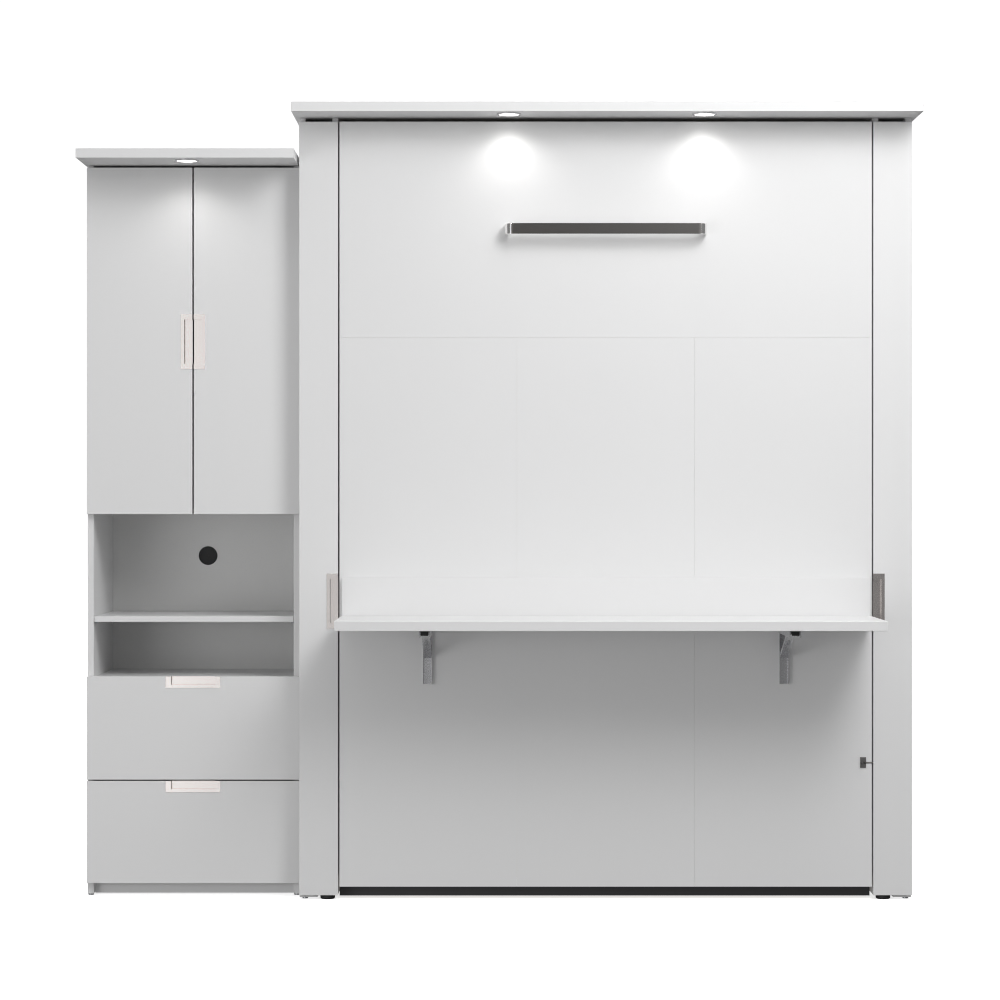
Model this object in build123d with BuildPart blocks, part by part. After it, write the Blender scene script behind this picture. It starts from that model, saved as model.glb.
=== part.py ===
"""A wall bed with a fold-out desk on its face and a storage tower at its left side, in millimetres.

+X is to the right, +Y is to the wall and +Z is up. The origin is on the floor, in the middle of
the whole unit's outline. The fronts of the two pillars lie in the plane Y = front_y.
"""

from build123d import *
import os
from math import atan2, cos, degrees, hypot, pi, radians, sin

os.makedirs("parts", exist_ok=True)

# Boards
panel = 16.0  # laminated board
thick_panel = 25.0  # crowns and desk
thin_panel = 5.0  # hardboard backs
edge_round = 1.0  # eased edges of visible boards
door_clearance = 2.0  # between a closed door and the carcass behind it

# Bed cabinet, measured from its own middle
pillar_width = 103.0
face_half = 705.5
side_gap = 4.0  # between the face and each pillar
inner_half = face_half + side_gap
bed_half = inner_half + pillar_width
cabinet_depth = 470.0
bed_height = 2098.0
crown_side_overhang = 12.5
crown_front_overhang = 120.0
top_gap = 11.0  # under the crown
desk_reach = 354.0

# Storage tower, measured from the middle of the bed
tower_left = -1385.0
tower_right = -817.0
tower_height = 1979.0
tower_setback = 65.0  # from the pillar fronts to the tower doors
tower_crown_front = 165.0
tower_crown_left = 5.0
tower_crown_right = -2.5  # short of the tower's side, where the taller pillar stands

# Frame: the middle of the whole outline
unit_left = tower_left - tower_crown_left
unit_right = bed_half + crown_side_overhang
bed_x = (unit_right - unit_left) / 2 - unit_right
unit_depth = desk_reach + cabinet_depth
front_y = desk_reach - unit_depth / 2
wall_y = front_y + cabinet_depth

# Bed leaf
face_bottom = 34.0
face_seam = 1490.0
seam = 0.2
face_edge_round = 0.3  # tighter, as the face boards meet with hardly a gap
mattress_width = 1372.0
mattress_length = 1905.0
mattress_thickness = 200.0
mattress_bottom = 80.0
rail_depth = 90.0
rail_gap = 1.0  # between the mattress and each side rail
slat_count = 14
slat_thickness = 12.0
pivot_y = front_y + 60.0
pivot_z = 300.0

# Desk
desk_width = 1399.0
desk_top_z = 753.0
desk_thickness = 25.4
apron_top = 853.0
apron_half = 698.0
desk_gap = 1.0  # between the apron and the desk
bracket_x = 472.0
bracket_wall = 1.5

# Pulls
pull_length = 146.0
pull_width = 30.0
pull_window = 118.0
pull_lip = 8.5
pull_depth = 10.2
pull_wall = 1.2
pull_proud = 1.0
pillar_pull_z = 791.0
door_pull_z = 1482.5

crown_bottom = bed_height - thick_panel
door_top = crown_bottom - top_gap
face_back = front_y + panel
carcass_front = face_back + door_clearance
desk_bottom = desk_top_z - desk_thickness
tower_front = front_y + tower_setback
tower_carcass_front = tower_front + panel + door_clearance
tower_crown_bottom = tower_height - thick_panel
tower_middle = (tower_left + tower_right) / 2


# ---------------------------------------------------------------- helpers
def span(side, near, far):
    """The X range of something that lies from near to far beyond the bed's middle, on one side."""
    ends = sorted((side * near, side * far))
    return (bed_x + ends[0], bed_x + ends[1])


def beside(left, right):
    """An X range measured from the bed's middle, in the frame of the whole unit."""
    return (bed_x + left, bed_x + right)


def board(x, y, z, mode=Mode.ADD):
    """A square board between two corners, in the part being built."""
    with Locations(((x[0] + x[1]) / 2, (y[0] + y[1]) / 2, (z[0] + z[1]) / 2)):
        Box(x[1] - x[0], y[1] - y[0], z[1] - z[0], mode=mode)


def pin(x, y, z, radius, mode=Mode.ADD):
    """A round pin or hole along X between two X values."""
    with BuildSketch(Plane.YZ.offset(x[0])) as section:
        with Locations((y, z)):
            Circle(radius)
    extrude(section.sketch, amount=x[1] - x[0], mode=mode)


def post(x, y, z, radius, mode=Mode.ADD):
    """A round post or hole along Z between two heights."""
    with BuildSketch(Plane.XY.offset(z[0])) as section:
        with Locations((x, y)):
            Circle(radius)
    extrude(section.sketch, amount=z[1] - z[0], mode=mode)


def stud(x, y, z, radius, mode=Mode.ADD):
    """A round stud or hole along Y between two Y values."""
    with BuildSketch(Plane.XZ.offset(-y[1])) as section:
        with Locations((x, z)):
            Circle(radius)
    extrude(section.sketch, amount=y[1] - y[0], mode=mode)


def pull_block(plane, along, into, out, mode=Mode.ADD):
    """A block of a pull, by its ranges along the edge, into the panel and out of its face."""
    with BuildSketch(plane.offset(out[0])) as section:
        with Locations(((along[0] + along[1]) / 2, (into[0] + into[1]) / 2)):
            Rectangle(along[1] - along[0], into[1] - into[0])
    extrude(section.sketch, amount=out[1] - out[0], mode=mode)


def pull_pocket(plane):
    """The mortise for an edge pull, cut from the panel being built."""
    half = pull_length / 2
    cup = pull_window / 2 + pull_wall
    pull_block(plane, (-half, half), (-1, pull_width), (-1, 1), Mode.SUBTRACT)
    cup_width = pull_width - pull_lip + pull_wall
    pull_block(plane, (-cup, cup), (-1, cup_width), (-pull_depth, 0), Mode.SUBTRACT)


def edge_pull(plane):
    """A flush pull let into the edge of a panel: a frame round a cup that is open at the edge."""
    half = pull_length / 2
    window = pull_window / 2
    cup = window + pull_wall
    inside = pull_width - pull_lip
    pull_block(plane, (-half, half), (0, pull_width), (-1, pull_proud))
    pull_block(plane, (-cup, cup), (0, inside + pull_wall), (-pull_depth, -1))
    floor = pull_wall - pull_depth
    pull_block(plane, (-window, window), (-1, inside), (floor, pull_proud + 1), Mode.SUBTRACT)


def pull_plane(x, y, z, into):
    """The plane of a pull, at the middle of the panel's edge, by the way into the panel."""
    outward = Vector(0, -1, 0)
    return Plane(origin=(x, y, z), x_dir=Vector(into).cross(outward), z_dir=outward)


def save(piece, name):
    """Labels a finished piece and writes it."""
    piece.part.label = name
    export_step(piece.part, f"parts/{name}.step")


sides = {"left": -1, "right": 1}

# ---------------------------------------------------------------- bed cabinet
crown_x = beside(-bed_half - crown_side_overhang, bed_half + crown_side_overhang)
puck_y = front_y - 72.0
puck_x = 256.7
puck_radius = 32.0
puck_body_radius = 28.0
puck_depth = 12.0
puck_flange = 3.0
lens_radius = 25.9
lens_drop = 2.4
lens_gap = 0.1

with BuildPart() as bed_crown:
    board(crown_x, (front_y - crown_front_overhang, wall_y), (crown_bottom, bed_height))
    fillet(bed_crown.edges(), radius=edge_round)
    for side in (-1, 1):
        hole_z = (crown_bottom, crown_bottom + puck_depth)
        post(bed_x + side * puck_x, puck_y, hole_z, puck_body_radius, Mode.SUBTRACT)
save(bed_crown, "bed_crown")

tower_crown_x = beside(tower_left - tower_crown_left, tower_right + tower_crown_right)
tower_puck_x = (tower_crown_x[0] + tower_crown_x[1]) / 2
tower_puck_y = front_y - 49.0
with BuildPart() as tower_crown:
    crown_y = (tower_front - tower_crown_front, wall_y)
    board(tower_crown_x, crown_y, (tower_crown_bottom, tower_height))
    fillet(tower_crown.edges(), radius=edge_round)
    hole_z = (tower_crown_bottom, tower_crown_bottom + puck_depth)
    post(tower_puck_x, tower_puck_y, hole_z, puck_body_radius, Mode.SUBTRACT)
save(tower_crown, "tower_crown")

puck_places = [
    (bed_x - puck_x, puck_y, crown_bottom),
    (bed_x + puck_x, puck_y, crown_bottom),
    (tower_puck_x, tower_puck_y, tower_crown_bottom),
]
with BuildPart() as puck:
    post(0, 0, (-puck_flange, 0), puck_radius)
    chamfer(puck.edges().group_by(Axis.Z)[0], length=1.0)
    post(0, 0, (0, puck_depth), puck_body_radius)
    post(0, 0, (-puck_flange, 0), lens_radius + lens_gap, Mode.SUBTRACT)

with BuildPart() as light_pucks:
    with Locations(*puck_places):
        add(puck.part)
save(light_pucks, "light_pucks")

with BuildPart() as light_lenses:
    for x, y, z in puck_places:
        post(x, y, (z - lens_drop, z), lens_radius)
save(light_lenses, "light_lenses")

gable_bottom = 4.0
inner_panel_bottom = 12.0
bush_radius = 15.0
axle_radius = 10.0
running = 0.05  # radial clearance of pins in their eyes
for name, side in sides.items():
    with BuildPart() as gable:
        board(span(side, bed_half - panel, bed_half), (carcass_front, wall_y), (gable_bottom, crown_bottom))
        fillet(gable.edges(), radius=edge_round)
    save(gable, f"gable_{name}")

    with BuildPart() as inner_panel:
        across = span(side, inner_half, inner_half + panel)
        board(across, (carcass_front, wall_y - thin_panel), (inner_panel_bottom, crown_bottom))
        fillet(inner_panel.edges(), radius=edge_round)
        pin(across, pivot_y, pivot_z, bush_radius, Mode.SUBTRACT)
    save(inner_panel, f"inner_panel_{name}")

pillar_inside = (inner_half + panel, bed_half - panel)
pillar_floor = 28.0
cleat_width = 32.0
pillar_shelf_heights = (700.0, 1150.0, 1600.0)
with BuildPart() as pillar_boards:
    for side in (-1, 1):
        across = span(side, *pillar_inside)
        board(across, (carcass_front, wall_y - thin_panel), (pillar_floor, pillar_floor + panel))
        for height in pillar_shelf_heights:
            board(across, (carcass_front + 4, wall_y - thin_panel), (height, height + panel))
        cleat = span(side, bed_half - panel - cleat_width, bed_half - panel)
        board(cleat, (carcass_front + 2, wall_y - thin_panel), (gable_bottom, pillar_floor))
save(pillar_boards, "pillar_boards")

bolt_radius = 3.5
bolt_spread_x = 1219.2  # three wall studs apart
upper_bolt_z = 1980.0
lower_bolt_z = 780.0
headboard_z = (100.0, 900.0)
top_rail_z = (1900.0, 2060.0)
bolt_places = [(bed_x + s * bolt_spread_x / 2, z) for s in (-1, 1) for z in (lower_bolt_z, upper_bolt_z)]
back_rail_y = (wall_y - thin_panel - panel, wall_y - thin_panel)
with BuildPart() as back_rails:
    for height in (headboard_z, top_rail_z):
        board(span(1, -inner_half, inner_half), back_rail_y, height)
    for x, z in bolt_places:
        stud(x, back_rail_y, z, bolt_radius, Mode.SUBTRACT)
save(back_rails, "back_rails")

with BuildPart() as bed_back:
    back_half = bed_half - panel
    board(beside(-back_half, back_half), (wall_y - thin_panel, wall_y), (pillar_floor, crown_bottom))
    for x, z in bolt_places:
        stud(x, (wall_y - thin_panel, wall_y), z, bolt_radius, Mode.SUBTRACT)
save(bed_back, "bed_back")

kick_setback = 75.0
kick_height = 24.0
kick_y = (front_y + kick_setback, front_y + kick_setback + panel)
with BuildPart() as kick_board:
    board(span(1, -inner_half, inner_half), kick_y, (0, kick_height))
save(kick_board, "kick_board")

leveler_x = 738.0
leveler_radius = 19.5
leveler_height = 9.0
stem_radius = 5.0
leveler_places = [(s * leveler_x, y) for s in (-1, 1) for y in (front_y + 22, wall_y - 45)]
with BuildPart() as levelers:
    for x, y in leveler_places:
        post(bed_x + x, y, (0, leveler_height), leveler_radius)
    chamfer(levelers.edges().group_by(Axis.Z)[0], length=2.5)
    for x, y in leveler_places:
        post(bed_x + x, y, (leveler_height, pillar_floor), stem_radius)
save(levelers, "levelers")

glide_radius = 7.5
bed_glide_x = 798.0
glide_inset = 27.0
glide_xs = [-bed_glide_x, bed_glide_x, tower_left + panel / 2, tower_right - panel / 2]
with BuildPart() as nail_glides:
    for x in glide_xs:
        setback = 0 if abs(x) == bed_glide_x else tower_setback
        for y in (front_y + setback + glide_inset, wall_y - glide_inset):
            post(bed_x + x, y, (0, gable_bottom), glide_radius)
    fillet(nail_glides.edges().group_by(Axis.Z)[0], radius=1.5)
save(nail_glides, "nail_glides")

# ---------------------------------------------------------------- bed pivot and gas struts
bush_flange_radius = 20.0
bush_flange = 2.0
plate_thickness = 4.0
rail_outer = mattress_width / 2 + rail_gap + panel
plate_x = (rail_outer, rail_outer + plate_thickness)
plate_y = (front_y + 24, front_y + 100)
plate_z = (pivot_z - 70, pivot_z + 130)
crank_x = (inner_half + panel + 3.5, inner_half + panel + 9.5)
crank_length = 130.0
crank_rest_angle = -75.0
crank_half_width = 18.0
crank_hub_radius = 22.0
stud_radius = 6.0
strut_x = inner_half + panel + 22.5  # plane of each gas strut
eye_half = 4.0
eye_radius = 12.0
eye_gap = 0.5  # between each stud's end and the eye beside it
strut_top = (pivot_y + 43.3, pivot_z + 260.0)
crank_angle = radians(crank_rest_angle)
stud_at = (pivot_y + crank_length * cos(crank_angle), pivot_z + crank_length * sin(crank_angle))

with BuildPart() as pivot_bushes:
    for side in (-1, 1):
        pin(span(side, inner_half, inner_half + panel), pivot_y, pivot_z, bush_radius)
        flange = span(side, inner_half + panel, inner_half + panel + bush_flange)
        pin(flange, pivot_y, pivot_z, bush_flange_radius)
        bore = span(side, inner_half, inner_half + panel + bush_flange)
        pin(bore, pivot_y, pivot_z, axle_radius + running, Mode.SUBTRACT)
save(pivot_bushes, "pivot_bushes")

with BuildPart() as pivot_gear:
    for side in (-1, 1):
        plate = span(side, *plate_x)
        board(plate, plate_y, plate_z)
        pin(span(side, plate_x[1], crank_x[0]), pivot_y, pivot_z, axle_radius)
        crank = span(side, *crank_x)
        with BuildSketch(Plane.YZ.offset(crank[0])) as crank_outline:
            with Locations((pivot_y, pivot_z)):
                Circle(crank_hub_radius)
            with Locations(stud_at):
                Circle(crank_half_width)
            make_hull()
        extrude(crank_outline.sketch, amount=crank[1] - crank[0])
        pin(span(side, crank_x[1], strut_x - eye_half - eye_gap), *stud_at, stud_radius)
save(pivot_gear, "pivot_gear")

bracket_pin_radius = 5.0
bracket_collar_radius = 8.0
bracket_foot = (50.0, 70.0)  # along Y and Z
pin_end = 3.0  # of each pin past its eye
foot_y = (strut_top[0] - bracket_foot[0] / 2, strut_top[0] + bracket_foot[0] / 2)
foot_z = (strut_top[1] - bracket_foot[1] / 2, strut_top[1] + bracket_foot[1] / 2)
foot_inner = bed_half - panel - plate_thickness
with BuildPart() as strut_brackets:
    for side in (-1, 1):
        board(span(side, foot_inner, bed_half - panel), foot_y, foot_z)
        pin(span(side, strut_x - eye_half - pin_end, foot_inner), *strut_top, bracket_pin_radius)
        pin(span(side, strut_x + eye_half + 1, foot_inner), *strut_top, bracket_collar_radius)
save(strut_brackets, "strut_brackets")

strut_length = hypot(stud_at[0] - strut_top[0], stud_at[1] - strut_top[1])
cylinder_radius = 11.0
bore_radius = 9.0
rod_radius = 5.0
cylinder_start = 20.0
cylinder_end = 220.0
cylinder_end_wall = 4.0
gland = 6.0
piston = (195.0, 205.0)
neck = 3.0  # that each eye and its rod share


def strut_plane(side, distance):
    """The plane across a gas strut, at a distance from its upper eye."""
    y = (stud_at[0] - strut_top[0]) / strut_length
    z = (stud_at[1] - strut_top[1]) / strut_length
    origin = (bed_x + side * strut_x, strut_top[0] + y * distance, strut_top[1] + z * distance)
    return Plane(origin=origin, x_dir=(1, 0, 0), z_dir=(0, y, z))


def strut_tube(side, start, end, radius, mode=Mode.ADD):
    """A round length of a gas strut, between two distances from its upper eye."""
    with BuildSketch(strut_plane(side, start)) as section:
        Circle(radius)
    extrude(section.sketch, amount=end - start, mode=mode)


with BuildPart() as gas_cylinders:
    for side in (-1, 1):
        eye = span(side, strut_x - eye_half, strut_x + eye_half)
        pin(eye, *strut_top, eye_radius)
        strut_tube(side, eye_radius - neck, cylinder_start + neck, rod_radius)
        strut_tube(side, cylinder_start, cylinder_end, cylinder_radius)
        bore_start = cylinder_start + cylinder_end_wall
        strut_tube(side, bore_start, cylinder_end - gland, bore_radius, Mode.SUBTRACT)
        strut_tube(side, cylinder_end - gland, cylinder_end, rod_radius + running, Mode.SUBTRACT)
        pin(eye, *strut_top, bracket_pin_radius + running, Mode.SUBTRACT)
save(gas_cylinders, "gas_cylinders")

with BuildPart() as gas_rods:
    for side in (-1, 1):
        eye = span(side, strut_x - eye_half, strut_x + eye_half)
        strut_tube(side, *piston, bore_radius - running)
        strut_tube(side, piston[1], strut_length - eye_radius + neck, rod_radius)
        pin(eye, *stud_at, eye_radius)
        pin(eye, *stud_at, stud_radius + running, Mode.SUBTRACT)
save(gas_rods, "gas_rods")

# ---------------------------------------------------------------- bed leaf
latch_z = 362.6
latch_x = (674.0, 690.0)
latch_z_range = (latch_z - 13.1, latch_z + 14.9)
latch_depth = 9.0
latch_proud = 3.0
rod_y = front_y + 3.0
latch_rod = 2.0
groove_half = 2.6


def face_board(name, x, z):
    """One board of the bed's face."""
    with BuildPart() as face:
        board(x, (front_y, face_back), z)
        fillet(face.edges(), radius=face_edge_round)
        if name == "face_right_board":
            pocket = beside(*latch_x)
            board(pocket, (front_y - 1, front_y + latch_depth), latch_z_range, Mode.SUBTRACT)
            groove = beside(latch_x[1], face_half + 1)
            groove_z = (latch_z - groove_half, latch_z + groove_half)
            board(groove, (front_y - 1, rod_y + groove_half), groove_z, Mode.SUBTRACT)
    save(face, name)


third = 2 * face_half / 3
face_board("face_top_board", beside(-face_half, face_half), (face_seam, door_top))
for place, name in enumerate(("face_left_board", "face_centre_board", "face_right_board")):
    left_edge = -face_half + place * third + (seam / 2 if place else 0)
    right_edge = -face_half + (place + 1) * third - (seam / 2 if place < 2 else 0)
    face_board(name, beside(left_edge, right_edge), (face_bottom, face_seam - seam))

rail_y = (face_back, face_back + rail_depth)
rail_inner = rail_outer - panel
end_rail_clearance = 8.0
mattress_z = (mattress_bottom, mattress_bottom + mattress_length)
lower_rail_z = (mattress_z[0] - end_rail_clearance - panel, mattress_z[0] - end_rail_clearance)
upper_rail_z = (mattress_z[1] + end_rail_clearance, mattress_z[1] + end_rail_clearance + panel)
mattress_start = face_back + 74.5
mattress_y = (mattress_start, mattress_start + mattress_thickness)
slat_gap = 0.5  # between the slats and the mattress
slat_y = (mattress_start - slat_gap - slat_thickness, mattress_start - slat_gap)
batten = 12.0
batten_half = 40.0
with BuildPart() as leaf_frame:
    for side in (-1, 1):
        board(span(side, rail_inner, rail_outer), rail_y, (lower_rail_z[0], upper_rail_z[1]))
        cleat = span(side, rail_inner - panel, rail_inner)
        board(cleat, (slat_y[0] - panel, slat_y[0]), (lower_rail_z[1], upper_rail_z[0]))
    for height in (lower_rail_z, upper_rail_z):
        board(beside(-rail_inner, rail_inner), rail_y, height)
    batten_y = (face_back, face_back + batten)
    cross_z = (face_seam - batten_half, face_seam + batten_half)
    board(beside(-rail_inner, rail_inner), batten_y, cross_z)
    for side in (-1, 1):
        joint = side * third / 2
        upright = beside(joint - batten_half, joint + batten_half)
        board(upright, batten_y, (lower_rail_z[1], cross_z[0]))
        board(upright, batten_y, (cross_z[1], upper_rail_z[0]))
save(leaf_frame, "leaf_frame")

slat_width = 68.0
slat_margin = 40.0
slat_first = mattress_z[0] + slat_margin
slat_pitch = (mattress_length - 2 * slat_margin - slat_width) / (slat_count - 1)
with BuildPart() as slats:
    for place in range(slat_count):
        low = slat_first + place * slat_pitch
        board(beside(-rail_inner, rail_inner), slat_y, (low, low + slat_width))
save(slats, "slats")

with BuildPart() as mattress:
    board(beside(-mattress_width / 2, mattress_width / 2), mattress_y, mattress_z)
    fillet(mattress.edges().filter_by(Axis.Y), radius=60)
    by_depth = mattress.edges().group_by(Axis.Y)
    fillet(by_depth[0] + by_depth[-1], radius=12)
save(mattress, "mattress")

strap_width = 40.0
strap_thickness = 2.0
strap_heights = (560.0, 1460.0)
strap_off = 1.3  # from the mattress to the middle of the strap
strap_side = mattress_width / 2 + strap_off
strap_back = mattress_y[1] + strap_off
strap_foot = rail_y[1] + 1.0
strap_inset = 3.0  # of each strap's end from the rail's outer face
with BuildPart() as mattress_straps:
    for height in strap_heights:
        with BuildSketch(Plane.XY.offset(height)) as strap_outline:
            with BuildLine():
                Polyline(
                    (bed_x - rail_outer + strap_inset, strap_foot),
                    (bed_x - strap_side, strap_foot),
                    (bed_x - strap_side, strap_back),
                    (bed_x + strap_side, strap_back),
                    (bed_x + strap_side, strap_foot),
                    (bed_x + rail_outer - strap_inset, strap_foot),
                )
            trace(line_width=strap_thickness)
        extrude(strap_outline.sketch, amount=strap_width)
save(mattress_straps, "mattress_straps")

handle_half = 266.5
handle_reach = 54.0
handle_bar = 8.0
handle_height = 28.0
handle_bend = 18.0
handle_z = 1774.0
with BuildPart() as bow_handle:
    with BuildSketch(Plane.XY.offset(handle_z - handle_height / 2)) as handle_outline:
        with BuildLine():
            end = handle_half - handle_bar / 2
            front = front_y - handle_reach + handle_bar / 2
            FilletPolyline(
                (bed_x - end, front_y),
                (bed_x - end, front),
                (bed_x + end, front),
                (bed_x + end, front_y),
                radius=handle_bend,
            )
        trace(line_width=handle_bar)
    extrude(handle_outline.sketch, amount=handle_height)
    level_edges = bow_handle.edges().group_by(Axis.Z)
    fillet(level_edges[0] + level_edges[-1], radius=1.2)
save(bow_handle, "bow_handle")

apron_y = (front_y - desk_thickness, front_y)
with BuildPart() as desk_apron:
    board(beside(-apron_half, apron_half), apron_y, (desk_bottom + 0.4, apron_top))
    fillet(desk_apron.edges(), radius=edge_round)
save(desk_apron, "desk_apron")

# ---------------------------------------------------------------- folding desk and its brackets
desk_pivot = (front_y - 10.0, desk_bottom - 11.6)
brace_foot = (front_y - 8.0, 646.0)
brace_tip = (front_y - 181.3, 713.5)
channel_z = (572.0, desk_bottom - 0.6)
channel_half = 12.3
channel_depth = 14.0
screw_heads = (592.0, 622.0, 687.0)
screw_head_radius = 4.0
screw_head_height = 1.0
arm_half = 14.3
arm_height = 20.0
arm_front = front_y - 290.0
arm_web_back = front_y - 27.0
arm_eye = 8.4
brace_half = 10.4
brace_height = 10.0
brace_solid = 16.0  # length left solid at each end
brace_pin_end = 2.0
brace_window = (46.0, 7.0)  # slot through the front of each brace
brace_window_at = 0.69  # of the brace's length, from its foot
hinge_pin = 2.5


def about(side, half):
    """The X range of something of a given half width, in the middle of one desk bracket."""
    return span(side, bracket_x - half, bracket_x + half)


with BuildPart() as bracket_channels:
    inside = channel_half - bracket_wall
    web_y = front_y - bracket_wall
    for side in (-1, 1):
        board(about(side, channel_half), (front_y - channel_depth, front_y), channel_z)
        board(about(side, inside), (front_y - channel_depth, web_y), channel_z, Mode.SUBTRACT)
        pin(about(side, arm_half), *desk_pivot, hinge_pin)
        pin(about(side, channel_half), *brace_foot, hinge_pin)
        for height in screw_heads:
            head_x = bed_x + side * bracket_x
            stud(head_x, (web_y - screw_head_height, web_y), height, screw_head_radius)
save(bracket_channels, "bracket_channels")

with BuildPart() as desk_top:
    half = desk_width / 2
    desk_y = (front_y - desk_reach, front_y - desk_thickness - desk_gap)
    board(beside(-half, half), desk_y, (desk_bottom, desk_top_z))
    fillet(desk_top.edges(), radius=1.5)
save(desk_top, "desk_top")

with BuildPart() as bracket_arms:
    for side in (-1, 1):
        outer = about(side, arm_half)
        hollow_x = about(side, arm_half - bracket_wall)
        with BuildSketch(Plane.YZ.offset(outer[0])) as arm_outline:
            long_middle = (arm_front + arm_web_back) / 2
            with Locations((long_middle, desk_bottom - arm_height / 2)):
                Rectangle(arm_web_back - arm_front, arm_height)
            with Locations(desk_pivot):
                Circle(arm_eye)
            make_hull()
        extrude(arm_outline.sketch, amount=2 * arm_half)
        below = desk_bottom - arm_height - 1
        hollow_z = (below, desk_bottom - bracket_wall)
        board(hollow_x, (arm_front - 1, arm_web_back), hollow_z, Mode.SUBTRACT)
        board(hollow_x, (arm_web_back, front_y), (below, desk_bottom + 1), Mode.SUBTRACT)
        pin(outer, *desk_pivot, hinge_pin + running, Mode.SUBTRACT)
save(bracket_arms, "bracket_arms")

brace_length = hypot(brace_tip[0] - brace_foot[0], brace_tip[1] - brace_foot[1])
brace_along = ((brace_tip[0] - brace_foot[0]) / brace_length, (brace_tip[1] - brace_foot[1]) / brace_length)


def brace_point(distance, rise=0.0):
    """A point of a desk brace, by its distance from the foot and above the brace's middle line."""
    y = brace_foot[0] + brace_along[0] * distance + brace_along[1] * rise
    z = brace_foot[1] + brace_along[1] * distance - brace_along[0] * rise
    return (y, z)


with BuildPart() as bracket_struts:
    for side in (-1, 1):
        across = about(side, brace_half)
        with BuildSketch(Plane.YZ.offset(across[0])) as brace_outline:
            with Locations(brace_foot, brace_tip):
                Circle(brace_height / 2)
            make_hull()
        extrude(brace_outline.sketch, amount=2 * brace_half)
        pin(about(side, brace_half + brace_pin_end), *brace_tip, hinge_pin)
        hollow_x = about(side, brace_half - bracket_wall)
        ends = (brace_solid, brace_length - brace_solid)
        with BuildSketch(Plane.YZ.offset(hollow_x[0])) as hollow:
            with Locations([brace_point(end, rise) for end in ends for rise in (0, brace_height)]):
                Circle(brace_height / 2 - bracket_wall)
            make_hull()
        extrude(hollow.sketch, amount=hollow_x[1] - hollow_x[0], mode=Mode.SUBTRACT)
        pin(across, *brace_foot, hinge_pin + running, Mode.SUBTRACT)
        below_brace = brace_point(brace_window_at * brace_length, -brace_height)
        window_plane = Plane(
            origin=(bed_x + side * bracket_x, *below_brace),
            x_dir=(0, *brace_along),
            z_dir=(0, brace_along[1], -brace_along[0]),
        )
        with BuildSketch(window_plane) as window:
            SlotOverall(*brace_window)
        extrude(window.sketch, amount=brace_height, mode=Mode.SUBTRACT)
save(bracket_struts, "bracket_struts")

lever_half = 9.5
lever_y = (front_y - 303.0, front_y - 272.0)
lever_z = (713.6, 723.6)
lever_pivot = (front_y - 277.0, 719.0)
lever_thin = 5.0  # thickness where the finger tab begins
lever_root = 7.0  # thickness at the pivot
lever_tab = (4.0, 9.0)  # length of the tab's flat and of its slope
for name, side in sides.items():
    with BuildPart() as lever:
        lever_x = about(side, lever_half)
        with BuildSketch(Plane.YZ.offset(lever_x[0])) as lever_outline:
            with BuildLine():
                Polyline(
                    (lever_y[1], lever_z[1]),
                    (lever_y[1], lever_z[1] - lever_root),
                    (lever_y[0] + lever_tab[1], lever_z[1] - lever_thin),
                    (lever_y[0] + lever_tab[0], lever_z[0]),
                    (lever_y[0], lever_z[0]),
                    (lever_y[0], lever_z[1]),
                    close=True,
                )
            make_face()
        extrude(lever_outline.sketch, amount=2 * lever_half)
        fillet(lever.edges().filter_by(Axis.X), radius=0.8)
    save(lever, f"release_lever_{name}")

# ---------------------------------------------------------------- safety latch on the face
knob_x = 680.0
knob_radius = 2.5
knob_gap = 0.3  # round the knob in its slot
knob_reach = 17.0
keeper_gap = 0.3  # round the bolt in its keeper hole
with BuildPart() as latch_block:
    block_y = (front_y - latch_proud, front_y + latch_depth)
    board(beside(*latch_x), block_y, latch_z_range)
    fillet(latch_block.edges().group_by(Axis.Y)[0], radius=1.0)
    bore_x = (latch_x[0] + 1.5, latch_x[1])
    pin(beside(*bore_x), rod_y, latch_z, latch_rod + running, Mode.SUBTRACT)
    slot_y = (block_y[0] - 1, rod_y)
    slot_z = (latch_z - knob_radius - knob_gap, latch_z + knob_radius + knob_gap)
    board(beside(knob_x - knob_radius - knob_gap, latch_x[1]), slot_y, slot_z, Mode.SUBTRACT)
save(latch_block, "latch_block")

rod_tip = inner_half - 1.0
with BuildPart() as latch_bolt:
    pin(beside(latch_x[0] + 2, rod_tip), rod_y, latch_z, latch_rod)
    stud(bed_x + knob_x, (rod_y - knob_reach, rod_y), latch_z, knob_radius)
    fillet(latch_bolt.edges().group_by(Axis.Y)[0], radius=1.0)
save(latch_bolt, "latch_bolt")

# ---------------------------------------------------------------- pillar doors
door_bottom = 11.0
keeper_depth = 10.0
for name, side in sides.items():
    free_edge = bed_x + side * inner_half
    place = pull_plane(free_edge, front_y, pillar_pull_z, (side, 0, 0))
    with BuildPart() as pillar_door:
        board(span(side, inner_half, bed_half), (front_y, face_back), (door_bottom, door_top))
        fillet(pillar_door.edges(), radius=edge_round)
        pull_pocket(place)
        if name == "right":
            keeper = span(side, inner_half - 1, inner_half + keeper_depth)
            pin(keeper, rod_y, latch_z, latch_rod + keeper_gap, Mode.SUBTRACT)
    save(pillar_door, f"pillar_door_{name}")

    with BuildPart() as pillar_pull:
        edge_pull(place)
    save(pillar_pull, f"pillar_pull_{name}")

# ---------------------------------------------------------------- storage tower
tower_inside = (tower_left + panel, tower_right - panel)
tower_back_y = (wall_y - 17.0, wall_y - 12.0)
with BuildPart() as tower_sides:
    for across in ((tower_left, tower_left + panel), (tower_right - panel, tower_right)):
        board(beside(*across), (tower_carcass_front, wall_y), (gable_bottom, tower_crown_bottom))
    fillet(tower_sides.edges(), radius=edge_round)
save(tower_sides, "tower_sides")

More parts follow.
